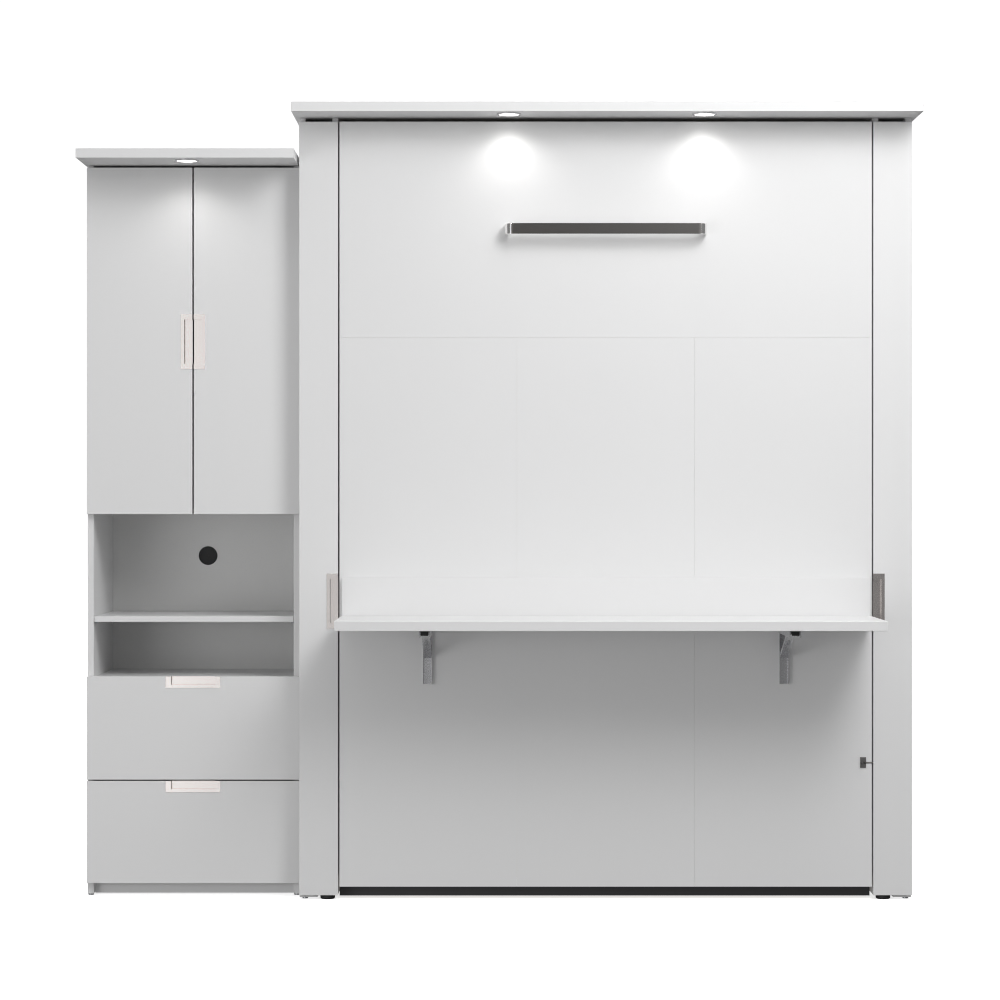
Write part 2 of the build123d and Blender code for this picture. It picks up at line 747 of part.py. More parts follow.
cupboard_bottom = 1021.0
niche_floor = 584.0
tower_bottom = 50.0
with BuildPart() as tower_decks:
    for low in (cupboard_bottom, niche_floor - panel, tower_bottom):
        board(beside(*tower_inside), (tower_carcass_front, tower_back_y[0]), (low, low + panel))
save(tower_decks, "tower_decks")

cable_z = 902.6
cable_radius = 25.0
with BuildPart() as tower_back:
    board(beside(*tower_inside), tower_back_y, (tower_bottom, tower_crown_bottom))
    stud(bed_x + tower_middle, tower_back_y, cable_z, cable_radius, Mode.SUBTRACT)
save(tower_back, "tower_back")

grommet_wall = 2.5
grommet_lip = 1.3
with BuildPart() as cable_grommet:
    x = bed_x + tower_middle
    stud(x, (tower_back_y[0] - 1.5, tower_back_y[0]), cable_z, cable_radius + grommet_lip)
    stud(x, tower_back_y, cable_z, cable_radius)
    stud(x, (tower_back_y[0] - 2, tower_back_y[1]), cable_z, cable_radius - grommet_wall, Mode.SUBTRACT)
save(cable_grommet, "cable_grommet")

shelf_thickness = 15.0
shelf_side_gap = 1.0
shelf_x = beside(tower_inside[0] + shelf_side_gap, tower_inside[1] - shelf_side_gap)
cupboard_shelf_heights = (1350.0, 1658.0)
niche_shelf_height = 732.0
with BuildPart() as cupboard_shelves:
    for low in cupboard_shelf_heights:
        board(shelf_x, (tower_carcass_front + 12, tower_back_y[0] - 3), (low, low + shelf_thickness))
save(cupboard_shelves, "cupboard_shelves")

with BuildPart() as niche_shelf:
    low = niche_shelf_height
    board(shelf_x, (tower_carcass_front + 3, tower_back_y[0] - 3), (low, low + shelf_thickness))
    fillet(niche_shelf.edges(), radius=0.8)
save(niche_shelf, "niche_shelf")

pin_radius = 2.5
pin_reach = 9.0
with BuildPart() as shelf_pins:
    for low in (niche_shelf_height, *cupboard_shelf_heights):
        for y in (tower_carcass_front + 35, tower_back_y[0] - 40):
            left_pin = beside(tower_inside[0], tower_inside[0] + pin_reach)
            right_pin = beside(tower_inside[1] - pin_reach, tower_inside[1])
            for across in (left_pin, right_pin):
                pin(across, y, low - pin_radius, pin_radius)
save(shelf_pins, "shelf_pins")

tower_kick_setback = 50.0
tower_kick_bottom = 2.0
tower_kick_y = (tower_front + tower_kick_setback, tower_front + tower_kick_setback + panel)
with BuildPart() as tower_kick:
    board(beside(*tower_inside), tower_kick_y, (tower_kick_bottom, tower_bottom))
save(tower_kick, "tower_kick")

door_gap = 4.0
tower_door_z = (cupboard_bottom, 1948.0)
tower_doors = {
    "left": (tower_left, tower_middle - door_gap / 2, (-1, 0, 0), tower_middle - door_gap / 2),
    "right": (tower_middle + door_gap / 2, tower_right, (1, 0, 0), tower_middle + door_gap / 2),
}
for name, (low_x, high_x, into, free_edge) in tower_doors.items():
    place = pull_plane(bed_x + free_edge, tower_front, door_pull_z, into)
    with BuildPart() as tower_door:
        board(beside(low_x, high_x), (tower_front, tower_front + panel), tower_door_z)
        fillet(tower_door.edges(), radius=edge_round)
        pull_pocket(place)
    save(tower_door, f"tower_door_{name}")

    with BuildPart() as tower_pull:
        edge_pull(place)
    save(tower_pull, f"tower_pull_{name}")

# ---------------------------------------------------------------- drawers
drawer_fronts = {"upper": (311.0, 587.0), "lower": (34.0, 307.5)}
box_bottoms = {"upper": 336.0, "lower": 84.0}
box_height = 170.0
box_length = 350.0
box_wall = 12.0
box_floor = 6.0
runner_gap = 13.0
runner_height = 45.0
runner_thickness = 12.5
runner_above_floor = 25.0
box_x = beside(tower_inside[0] + runner_gap, tower_inside[1] - runner_gap)
box_y = (tower_front + panel, tower_front + panel + box_length)
for name, (low, high) in drawer_fronts.items():
    place = pull_plane(bed_x + tower_middle, tower_front, high, (0, 0, -1))
    with BuildPart() as drawer_front:
        board(beside(tower_left, tower_right), (tower_front, tower_front + panel), (low, high))
        fillet(drawer_front.edges(), radius=edge_round)
        pull_pocket(place)
    save(drawer_front, f"{name}_drawer_front")

    with BuildPart() as drawer_pull:
        edge_pull(place)
    save(drawer_pull, f"{name}_drawer_pull")

    base = box_bottoms[name]
    with BuildPart() as drawer_box:
        board(box_x, box_y, (base, base + box_height))
        hollow_x = (box_x[0] + box_wall, box_x[1] - box_wall)
        hollow_y = (box_y[0] + box_wall, box_y[1] - box_wall)
        hollow_z = (base + box_wall + box_floor, base + box_height)
        board(hollow_x, hollow_y, hollow_z, Mode.SUBTRACT)
        board(hollow_x, hollow_y, (base, base + box_wall), Mode.SUBTRACT)
        fillet(drawer_box.edges().group_by(Axis.Z)[-1], radius=1.0)
    save(drawer_box, f"{name}_drawer_box")

with BuildPart() as fixed_runners:
    for base in box_bottoms.values():
        low = base + runner_above_floor
        runner_z = (low, low + runner_height)
        runner_y = (tower_carcass_front + 2, box_y[1])
        left_runner = beside(tower_inside[0], tower_inside[0] + runner_thickness)
        right_runner = beside(tower_inside[1] - runner_thickness, tower_inside[1])
        for across in (left_runner, right_runner):
            board(across, runner_y, runner_z)
save(fixed_runners, "fixed_runners")

# ---------------------------------------------------------------- motion, for the joints
strut_start = degrees(atan2(stud_at[1] - strut_top[1], stud_at[0] - strut_top[0]))
open_angle = radians(crank_rest_angle + 90)
open_stud = (pivot_y + crank_length * cos(open_angle), pivot_z + crank_length * sin(open_angle))
strut_end = degrees(atan2(open_stud[1] - strut_top[1], open_stud[0] - strut_top[0]))
open_length = hypot(open_stud[0] - strut_top[0], open_stud[1] - strut_top[1])
brace_angle = degrees(atan2(brace_along[1], -brace_along[0]))
print("bed pivot", pivot_y, pivot_z, "strut top", strut_top, "strut length", strut_length, open_length)
print("strut turn in degrees", strut_end - strut_start)
print("rod travel in metres per radian", (open_length - strut_length) / 500 / pi)
print("strut direction", strut_plane(1, 0).z_dir, "desk pivot", desk_pivot, "brace foot", brace_foot)
print("brace turn in degrees", 90 + brace_angle, "lever pivot", lever_pivot)
print("bed middle", bed_x, "pillar fronts", front_y)
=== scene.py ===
"""Looks for a wall bed with a fold-out desk and a storage tower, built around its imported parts."""

from __future__ import annotations

import logging
import math
from collections.abc import Callable, Sequence
from dataclasses import dataclass
from enum import Enum

import bmesh
import bpy
from mathutils import Matrix, Vector


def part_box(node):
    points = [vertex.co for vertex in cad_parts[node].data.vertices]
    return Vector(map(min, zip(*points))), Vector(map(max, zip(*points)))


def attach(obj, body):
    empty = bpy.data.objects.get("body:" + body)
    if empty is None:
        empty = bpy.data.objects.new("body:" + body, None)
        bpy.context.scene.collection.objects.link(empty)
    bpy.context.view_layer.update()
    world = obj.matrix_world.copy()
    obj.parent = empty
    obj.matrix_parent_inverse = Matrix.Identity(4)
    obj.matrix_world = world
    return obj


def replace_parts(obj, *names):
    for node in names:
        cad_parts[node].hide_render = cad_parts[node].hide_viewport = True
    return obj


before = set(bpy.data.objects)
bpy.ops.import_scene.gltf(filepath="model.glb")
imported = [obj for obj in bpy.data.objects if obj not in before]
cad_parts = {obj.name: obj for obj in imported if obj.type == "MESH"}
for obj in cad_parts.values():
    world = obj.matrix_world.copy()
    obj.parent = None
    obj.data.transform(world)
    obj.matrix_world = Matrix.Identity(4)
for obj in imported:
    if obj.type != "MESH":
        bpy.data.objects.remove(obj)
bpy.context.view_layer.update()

log = logging.getLogger("wall_bed")
MM = 0.001

Colour = tuple[float, float, float]
Point = tuple[float, float, float]
Settings = dict[str, object]


# ---------------------------------------------------------------- shader kit
class Value:
    """A shader socket that ordinary arithmetic works on."""

    def __init__(self, painter: Painter, socket: bpy.types.NodeSocket) -> None:
        """Keeps the socket and the painter that adds its nodes."""
        self.painter = painter
        self.socket = socket

    def __add__(self, other: Feed) -> Value:
        """Sum of two values."""
        return self.painter.maths("ADD", self, other)

    def __sub__(self, other: Feed) -> Value:
        """This value less another."""
        return self.painter.maths("SUBTRACT", self, other)

    def __rsub__(self, other: Feed) -> Value:
        """A number less this value."""
        return self.painter.maths("SUBTRACT", other, self)

    def __mul__(self, other: Feed) -> Value:
        """Product of two values."""
        return self.painter.maths("MULTIPLY", self, other)

    def __truediv__(self, other: Feed) -> Value:
        """This value over another."""
        return self.painter.maths("DIVIDE", self, other)

    __radd__ = __add__
    __rmul__ = __mul__

    def bounded(self) -> Value:
        """This value kept between 0 and 1."""
        return self.painter.maths("ADD", self, 0.0, clamp=True)

    def size(self) -> Value:
        """This value without its sign."""
        return self.painter.maths("ABSOLUTE", self, 0.0)

    def past(self, edge: float, width: float) -> Value:
        """0 below an edge and 1 above it, over a soft width."""
        return ((self - edge) / width + 0.5).bounded()


Feed = float | Value


class Painter:
    """Builds the nodes of one material or of the world."""

    def __init__(self, owner: bpy.types.Material | bpy.types.World) -> None:
        """Turns the owner's nodes on.

        Args:
            owner: What the nodes belong to. Only a material has a shader to set.
        """
        owner.use_nodes = True
        self.owner = owner
        self.tree = owner.node_tree
        self.shader = self.tree.nodes.get("Principled BSDF")

    def node(
        self,
        kind: str,
        settings: Settings | None = None,
        inputs: dict[int | str, object] | None = None,
    ) -> bpy.types.Node:
        """Adds one node.

        Args:
            kind: The node's type.
            settings: What is set on the node first; "stops" fills a colour ramp.
            inputs: Values or links of its sockets, by name or number.

        Returns:
            The new node.
        """
        made = self.tree.nodes.new(kind)
        for name, setting in (settings or {}).items():
            if name == "stops":
                self._fill_ramp(made.color_ramp, setting)
            else:
                setattr(made, name, setting)
        for key, given in (inputs or {}).items():
            self._feed(made.inputs[key], given)
        return made

    def _fill_ramp(self, ramp: bpy.types.ColorRamp, stops: Sequence[tuple[float, Colour]]) -> None:
        """Sets a ramp's stops.

        Args:
            ramp: The ramp of a node.
            stops: Places from 0 to 1 and their colours.
        """
        while len(ramp.elements) < len(stops):
            ramp.elements.new(0.5)
        for element, (place, colour) in zip(ramp.elements, stops):
            element.position = place
            element.color = (*colour, 1.0)

    def _feed(self, socket: bpy.types.NodeSocket, given: object) -> None:
        """Links or sets one socket.

        Args:
            socket: The input.
            given: A Value to link, or a number or tuple to set.
        """
        if isinstance(given, Value):
            self.tree.links.new(given.socket, socket)
        elif socket.type == "RGBA" and len(given) == 3:
            socket.default_value = (*given, 1.0)
        else:
            socket.default_value = given

    def read(self, node: bpy.types.Node, output: int | str = 0) -> Value:
        """One output of a node as a Value."""
        return Value(self, node.outputs[output])

    def maths(self, operation: str, first: Feed, second: Feed, clamp: bool = False) -> Value:
        """Adds one Math node.

        Args:
            operation: What it does.
            first: Its first value.
            second: Its second value.
            clamp: Whether the result is kept between 0 and 1.

        Returns:
            The result.
        """
        settings = {"operation": operation, "use_clamp": clamp}
        return self.read(self.node("ShaderNodeMath", settings, {0: first, 1: second}))

    def place(self, stretch: Point = (1.0, 1.0, 1.0)) -> Value:
        """Object coordinates, scaled along each axis."""
        here = self.read(self.node("ShaderNodeTexCoord"), "Object")
        return self.read(self.node("ShaderNodeMapping", None, {"Vector": here, "Scale": stretch}))

    def along(self, axis: str) -> Value:
        """The object coordinate along one axis, in metres."""
        parts = self.node("ShaderNodeSeparateXYZ", None, {0: self.place()})
        return self.read(parts, axis)

    def noise(
        self,
        scale: float,
        detail: float = 2.0,
        stretch: Point = (1.0, 1.0, 1.0),
        distortion: float = 0.0,
    ) -> Value:
        """Cloudy noise from 0 to 1.

        Args:
            scale: Cells per metre.
            detail: How many finer layers it has.
            stretch: Scale along each axis on top of that.
            distortion: How far it swirls.

        Returns:
            The noise.
        """
        inputs = {
            "Vector": self.place(stretch),
            "Scale": scale,
            "Detail": detail,
            "Distortion": distortion,
        }
        return self.read(self.node("ShaderNodeTexNoise", None, inputs))

    def stripes(self, axis: str, pitch: float, wobble: float = 0.0) -> Value:
        """Soft stripes from 0 to 1 across one axis.

        Args:
            axis: The axis they follow each other along.
            pitch: Their spacing in metres.
            wobble: How far they wander.

        Returns:
            The stripes.
        """
        turns = self.along(axis) * (2 * math.pi / pitch)
        if wobble:
            turns = turns + self.noise(1 / (8 * pitch)) * wobble
        return self.maths("SINE", turns, 0.0) * 0.5 + 0.5

    def mix(self, low: object, high: object, share: Feed) -> Value:
        """A colour between two others.

        Args:
            low: The colour at 0.
            high: The colour at 1.
            share: From 0 to 1.

        Returns:
            The colour.
        """
        inputs = {0: share, 6: low, 7: high}
        return self.read(self.node("ShaderNodeMix", {"data_type": "RGBA"}, inputs), 2)

    def ramp(self, share: Feed, stops: Sequence[tuple[float, Colour]]) -> Value:
        """A colour from a ramp of stops."""
        return self.read(self.node("ShaderNodeValToRGB", {"stops": stops}, {0: share}))

    def bump(self, height: Value, distance: float, strength: float = 1.0) -> None:
        """Feeds a bump into the shader's normal.

        Args:
            height: From 0 to 1.
            distance: Its depth in metres.
            strength: How much of it shows.
        """
        inputs = {"Height": height, "Distance": distance, "Strength": strength}
        self.set("Normal", self.read(self.node("ShaderNodeBump", None, inputs)))

    def set(self, name: str, given: object) -> None:
        """Sets or links one socket of the shader."""
        self._feed(self.shader.inputs[name], given)


def rise(value: float, start: float, width: float) -> float:
    """0 up to a start and 1 from a width beyond it."""
    return max(0.0, min(1.0, (value - start) / width))


def shade(colour: Colour, by: float) -> Colour:
    """A colour made lighter or darker by a factor."""
    return tuple(min(1.0, channel * by) for channel in colour)


# ---------------------------------------------------------------- finishes
@dataclass(frozen=True)
class Finish:
    """One finish of the record, as a material."""

    slot: str

    def paint(self, painter: Painter) -> None:
        """Builds the finish's nodes."""
        raise NotImplementedError

    def material(self) -> bpy.types.Material:
        """The finish's material, made once."""
        name = f"finish_{self.slot}"
        if name not in bpy.data.materials:
            self.paint(Painter(bpy.data.materials.new(name)))
        return bpy.data.materials[name]


@dataclass(frozen=True)
class Board(Finish):
    """Board with a pressed skin: finely pebbled, with a gloss that is a little uneven."""

    colour: Colour
    roughness: float = 0.46
    pebble: float = 0.9 * MM
    relief: float = 0.03 * MM
    cloud: float = 0.012
    speck: float = 0.0

    def paint(self, painter: Painter) -> None:
        """Builds the skin's nodes."""
        cloud = painter.noise(3.0, 3.0)
        pebble = painter.noise(1 / self.pebble, 2.0)
        tone = cloud * 0.7 + pebble * 0.3
        low, high = shade(self.colour, 1 - self.cloud), shade(self.colour, 1 + self.cloud)
        colour = painter.mix(low, high, tone)
        if self.speck:
            speck = painter.noise(400.0, 4.0).past(0.62, 0.08) * self.speck
            colour = painter.mix(colour, shade(self.colour, 0.55), speck)
        painter.set("Base Color", colour)
        rough = pebble * 0.1 + painter.noise(9.0, 4.0) * 0.08 + (self.roughness - 0.09)
        painter.set("Roughness", rough)
        painter.set("Specular IOR Level", 0.4)
        painter.bump(pebble, self.relief, 0.6)


class Grain(Enum):
    """The axis that wood grain or metal brushing runs along, as a stretch of its pattern."""

    ALONG_X = (0.03, 1.0, 1.0)
    ALONG_Y = (1.0, 0.03, 1.0)
    ALONG_Z = (1.0, 1.0, 0.03)
    EVEN = (1.0, 1.0, 1.0)


@dataclass(frozen=True)
class Timber(Finish):
    """Plain sawn or planed wood with its grain along one axis."""

    pale: Colour
    dark: Colour
    grain: Grain
    roughness: float = 0.6

    def paint(self, painter: Painter) -> None:
        """Builds the grain's nodes."""
        stretch = self.grain.value
        broad = painter.noise(38.0, 4.0, stretch, 0.6)
        fine = painter.noise(420.0, 3.0, stretch)
        rings = painter.maths("SINE", broad * 34.0, 0.0) * 0.5 + 0.5
        tone = (rings * 0.55 + fine * 0.45).bounded()
        middle = tuple((a + b) / 2 for a, b in zip(self.pale, self.dark))
        stops = [(0.12, self.pale), (0.55, middle), (0.95, self.dark)]
        painter.set("Base Color", painter.ramp(tone, stops))
        painter.set("Roughness", fine * 0.18 + (self.roughness - 0.09))
        painter.bump(tone, 0.12 * MM, 0.5)


@dataclass(frozen=True)
class Ticking(Finish):
    """Mattress cloth: a fine weave under a soft scattered pattern."""

    colour: Colour
    thread: float = 1.1 * MM

    def paint(self, painter: Painter) -> None:
        """Builds the cloth's nodes."""
        weave = painter.stripes("X", self.thread) * painter.stripes("Z", self.thread)
        side_weave = painter.stripes("Y", self.thread)
        cloth = weave * 0.6 + side_weave * 0.4
        figure = painter.noise(26.0, 1.0, (1.0, 0.2, 1.0), 1.6).past(0.52, 0.05)
        woven = painter.mix(shade(self.colour, 0.9), shade(self.colour, 1.03), cloth)
        painter.set("Base Color", painter.mix(woven, shade(self.colour, 0.93), figure * 0.6))
        painter.set("Roughness", 0.88 - figure * 0.12)
        painter.set("Sheen Weight", 0.25)
        painter.set("Sheen Roughness", 0.5)
        painter.bump(cloth * 0.5 + figure * 0.5, 0.25 * MM, 0.7)


@dataclass(frozen=True)
class Webbing(Finish):
    """Flat woven strap with ribs across it."""

    colour: Colour
    thread: Colour = (0.3, 0.3, 0.32)
    rib: float = 2.2 * MM
    twill: float = 1.6 * MM
    wander: float = 1.5

    def paint(self, painter: Painter) -> None:
        """Builds the webbing's nodes."""
        ribs = painter.stripes("Z", self.rib)
        twill = painter.stripes("X", self.twill, self.wander)
        twill = twill * painter.stripes("Y", self.twill, self.wander)
        weave = (ribs * 0.7 + twill * 0.3).bounded()
        painter.set("Base Color", painter.mix(shade(self.colour, 0.7), self.thread, weave * 0.45))
        painter.set("Roughness", 0.85 - weave * 0.2)
        painter.set("Sheen Weight", 0.2)
        painter.bump(weave, 0.3 * MM, 0.8)


@dataclass(frozen=True)
class Moulding(Finish):
    """Moulded plastic with a fine spark-eroded texture."""

    colour: Colour
    roughness: float = 0.5

    def paint(self, painter: Painter) -> None:
        """Builds the moulding's nodes."""
        grit = painter.noise(1300.0, 2.0)
        cloud = painter.noise(60.0, 3.0)
        tone = cloud * 0.6 + grit * 0.4
        painter.set("Base Color", painter.mix(shade(self.colour, 0.8), shade(self.colour, 1.3), tone))
        painter.set("Roughness", grit * 0.2 + (self.roughness - 0.1))
        painter.bump(grit, 0.05 * MM, 0.7)


@dataclass(frozen=True)
class Metal(Finish):
    """Bare or plated metal, brushed along an axis or speckled."""

    colour: Colour
    roughness: float
    grain: Grain = Grain.EVEN
    line: float = 900.0
    depth: float = 0.004 * MM
    spread: float = 0.08
    metallic: float = 1.0

    def paint(self, painter: Painter) -> None:
        """Builds the metal's nodes."""
        lines = painter.noise(self.line, 3.0, self.grain.value)
        smudge = painter.noise(22.0, 4.0, distortion=0.8)
        tone = (lines * 0.6 + smudge * 0.4).bounded()
        low, high = shade(self.colour, 1 - self.spread), shade(self.colour, 1 + self.spread)
        painter.set("Base Color", painter.mix(low, high, tone))
        painter.set("Metallic", self.metallic)
        painter.set("Roughness", (tone * 0.3 + 0.85) * self.roughness)
        painter.bump(lines, self.depth, 0.5)


@dataclass(frozen=True)
class HandleMetal(Finish):
    """The long handle: a brushed bar whose dark taupe front colour is a painted dark reflection, and
    whose pale ends and sides are a painted bright reflection.
    """

    # bar is the front's colour, a painted dark reflection; plated is the colour of the ends and
    # sides, a painted bright reflection.
    bar: Colour
    plated: Colour
    middle: float
    half: float
    front: float
    cap: float = 13 * MM
    rim: float = 0.9 * MM
    cap_blend: float = 0.6 * MM
    rim_blend: float = 0.5 * MM

    def paint(self, painter: Painter) -> None:
        """Builds the bar's nodes."""
        out = (painter.along("X") - self.middle).size()
        away = painter.along("Y") - self.front
        # Painted reflection mask: 1 (painted bright reflection) on the end caps and on every face
        # behind the front skin, 0 on the front, whose dark colour is painted dark reflection.
        inner = 1 - out.past(self.half - self.cap, self.cap_blend)
        bright_reflection_mask = 1 - inner * (1 - away.past(self.rim, self.rim_blend))
        lines = painter.noise(1500.0, 3.0, Grain.ALONG_X.value)
        bar = painter.mix(shade(self.bar, 0.88), shade(self.bar, 1.12), lines)
        painter.set("Base Color", painter.mix(bar, self.plated, bright_reflection_mask))
        painter.set("Metallic", 1.0)
        painter.set("Roughness", (lines * 0.12 + 0.27) * (1 - bright_reflection_mask * 0.55))
        painter.bump(lines * (1 - bright_reflection_mask), 0.004 * MM, 0.6)


@dataclass(frozen=True)
class LampLens(Finish):
    """Frosted lens with its lamp lit behind it."""

    glow: Colour
    strength: float = 3.0
    cells: float = 160.0

    def paint(self, painter: Painter) -> None:
        """Builds the lens's nodes."""
        inputs = {"Vector": painter.place(), "Scale": self.cells}
        cells = painter.node("ShaderNodeTexVoronoi", None, inputs)
        dots = 1 - painter.read(cells, "Distance").bounded() * 0.25
        glow = painter.mix(shade(self.glow, 0.8), self.glow, dots)
        painter.set("Base Color", painter.mix((0.8, 0.8, 0.79), (0.95, 0.95, 0.94), dots))
        painter.set("Emission Color", glow)
        painter.set("Emission Strength", self.strength)
        painter.set("Roughness", 0.3 + dots * 0.05)
        painter.bump(dots, 0.1 * MM, 0.3)


HANDLE_LOW, HANDLE_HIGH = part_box("bow_handle")
FINISHES: dict[str, Finish] = {
    finish.slot: finish
    for finish in (
        Board("white_laminate", (0.78, 0.78, 0.782)),
        Board("white_hardboard", (0.78, 0.78, 0.775), 0.62, 2.5 * MM, 0.06 * MM, 0.03, 0.25),
        Board("drawer_board", (0.83, 0.83, 0.825), 0.5),
        Board("charcoal_laminate", (0.055, 0.055, 0.059), 0.5, cloud=0.1),
        Timber("frame_wood", (0.72, 0.56, 0.36), (0.5, 0.34, 0.18), Grain.ALONG_Z),
        Timber("slat_wood", (0.8, 0.68, 0.49), (0.63, 0.48, 0.3), Grain.ALONG_X, 0.5),
        Ticking("ticking", (0.86, 0.86, 0.85)),
        Webbing("webbing", (0.05, 0.05, 0.055)),
        Moulding("black_plastic", (0.008, 0.008, 0.009), 0.62),
        Metal("zinc", (0.46, 0.47, 0.49), 0.36, line=120.0, spread=0.14),
        Metal("dark_steel", (0.04, 0.04, 0.043), 0.45, line=1600.0, depth=0.06 * MM, metallic=0.2),
        Metal("bearing_bronze", (0.52, 0.36, 0.19), 0.4, line=700.0, spread=0.2),
        Metal("strut_rod", (0.78, 0.78, 0.8), 0.08, Grain.ALONG_X, 1500.0),
        Metal("chrome", (0.74, 0.74, 0.76), 0.2, Grain.ALONG_Z, 700.0, spread=0.05, metallic=0.8),
        Metal("latch_metal", (0.2, 0.196, 0.192), 0.42, Grain.ALONG_X, 1500.0, metallic=0.7),
        Metal("satin_nickel", (0.86, 0.81, 0.79), 0.24, Grain.ALONG_Z, 1400.0, spread=0.02),
        # The handle's dark bar colour is a painted dark reflection and its pale plated colour a
        # painted bright reflection.
        HandleMetal(
            "brushed_handle",
            bar=(0.13, 0.124, 0.12),
            plated=(0.9, 0.89, 0.88),
            middle=(HANDLE_LOW.x + HANDLE_HIGH.x) / 2,
            half=(HANDLE_HIGH.x - HANDLE_LOW.x) / 2,
            front=HANDLE_LOW.y,
        ),
        LampLens("light_lens", (1.0, 0.985, 0.95)),
    )
}


# ---------------------------------------------------------------- modelling helpers
def deselect() -> None:
    """Clears the selection, in object mode."""
    bpy.ops.object.select_all(action="DESELECT")


def select_only(piece: bpy.types.Object) -> None:
    """Makes one object the selected and active one."""
    deselect()
    piece.select_set(True)
    bpy.context.view_layer.objects.active = piece


def in_edit_mode(piece: bpy.types.Object, work: Callable[[], None]) -> None:
    """Runs some work on one object in edit mode.

    Args:
        piece: The object.
        work: What is done; nothing is selected when it starts.
    """
    select_only(piece)
    bpy.ops.object.mode_set(mode="EDIT")
    bpy.ops.mesh.select_all(action="DESELECT")
    work()
    bpy.ops.object.mode_set(mode="OBJECT")


def pick(piece: bpy.types.Object, kind: str, test: Callable[[Vector, Vector], bool]) -> None:
    """Selects faces or edges in edit mode by their middle and normal.

    Args:
        piece: The object in edit mode.
        kind: "faces" or "edges".
        test: Takes the middle and the normal, and says whether it is selected.
    """
    shape = bmesh.from_edit_mesh(piece.data)
    bpy.ops.mesh.select_mode(type="FACE" if kind == "faces" else "EDGE")
    if kind == "faces":
        for face in shape.faces:
            face.select_set(test(face.calc_center_median(), face.normal))
    else:
        for edge in shape.edges:
            a, b = (corner.co for corner in edge.verts)
            edge.select_set(test((a + b) / 2, (b - a).normalized()))
    shape.select_flush_mode()
    bmesh.update_edit_mesh(piece.data)


def apply_modifier(piece: bpy.types.Object, kind: str, **settings: object) -> None:
    """Adds one modifier and applies it.

    Args:
        piece: The object.
        kind: The modifier's type.
        settings: What is set on it.
    """
    select_only(piece)
    made = piece.modifiers.new(kind.lower(), kind)
    for name, setting in settings.items():
        setattr(made, name, setting)
    bpy.ops.object.modifier_apply(modifier=made.name)


def settle(piece: bpy.types.Object) -> None:
    """Puts the object's place, turn and scale into its mesh."""
    select_only(piece)
    bpy.ops.object.transform_apply(location=True, rotation=True, scale=True)


def joined(pieces: Sequence[bpy.types.Object], name: str) -> bpy.types.Object:
    """Several pieces as one object of a given name."""
    deselect()
    for piece in pieces:
        piece.select_set(True)
    bpy.context.view_layer.objects.active = pieces[0]
    bpy.ops.object.join()
    pieces[0].name = name
    settle(pieces[0])
    return pieces[0]


def copied(piece: bpy.types.Object, matrix: Matrix) -> bpy.types.Object:
    """A copy with its own mesh, moved by a matrix."""
    twin = piece.copy()
    twin.data = piece.data.copy()
    twin.data.transform(matrix)
    bpy.context.scene.collection.objects.link(twin)
    return twin


def block(centre: Point, size: Point, name: str, ease: float = 0.0) -> bpy.types.Object:
    """A block with eased edges, as a start for a shape.

    Args:
        centre: Its middle in metres.
        size: Its sides in metres.
        name: The object's name.
        ease: The rounding of its edges in metres.

    Returns:
        The object, with its place in its mesh.
    """
    deselect()
    bpy.ops.mesh.primitive_cube_add(size=1.0, location=centre)
    piece = bpy.context.object
    piece.name = name
    piece.scale = size
    settle(piece)
    if ease:
        apply_modifier(piece, "BEVEL", width=ease, segments=3, limit_method="ANGLE")
    return piece


def band(
    path: Sequence[Point], across: Vector, thickness: float, turn: float, name: str
) -> bpy.types.Object:
    """A flat strap along a path, with rounded turns.

    Args:
        path: The points of its middle line.
        across: The vector from one edge to the other.
        thickness: Its thickness in metres.
        turn: The radius of its turns.
        name: The object's name.

    Returns:
        The strap.
    """
    points = [Vector(point) for point in path]
    deselect()
    bpy.ops.mesh.primitive_plane_add(size=1.0, location=(0, 0, 0))
    piece = bpy.context.object
    piece.name = name
    start, step = points[0] - across / 2, points[1] - points[0]
    corners = (start, start + step, start + across, start + across + step)
    for vertex, corner in zip(sorted(piece.data.vertices, key=lambda v: (v.co.y, v.co.x)), corners):
        vertex.co = corner

    def is_at(middle: Vector, point: Vector) -> bool:
        """Whether an edge's middle lies on a point of the path."""
        return (middle - point).length < 0.01 * MM

    def draw() -> None:
        """Extrudes the strap's end from point to point and rounds its turns."""
        for before, here, there in zip(points, points[1:], points[2:]):
            run = (here - before).normalized()
            pick(piece, "edges", lambda middle, way: is_at(middle, here) and abs(way.dot(run)) < 0.01)
            bpy.ops.mesh.extrude_region_move(TRANSFORM_OT_translate={"value": there - here})
        pick(piece, "edges", lambda middle, way: any(is_at(middle, point) for point in points[1:-1]))
        bpy.ops.mesh.bevel(offset=turn, segments=6, affect="EDGES")

    in_edit_mode(piece, draw)
    apply_modifier(piece, "SOLIDIFY", thickness=thickness, offset=0.0)
    limit = {"limit_method": "ANGLE", "angle_limit": math.radians(50)}
    apply_modifier(piece, "BEVEL", width=thickness * 0.3, segments=2, **limit)
    return piece


def finished(
    piece: bpy.types.Object, slot: str, body: str, smooth_to: float = 35.0
) -> bpy.types.Object:
    """Gives a piece its finish, its shading and its body.

    Args:
        piece: The finished shape.
        slot: The record's finish.
        body: The body it rides on.
        smooth_to: The angle in degrees up to which its faces blend.

    Returns:
        The same piece.
    """
    settle(piece)
    bpy.ops.object.shade_smooth_by_angle(angle=math.radians(smooth_to))
    piece.data.materials.clear()
    piece.data.materials.append(FINISHES[slot].material())
    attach(piece, body)
    log.info("%s rides on %s", piece.name, body)
    return piece


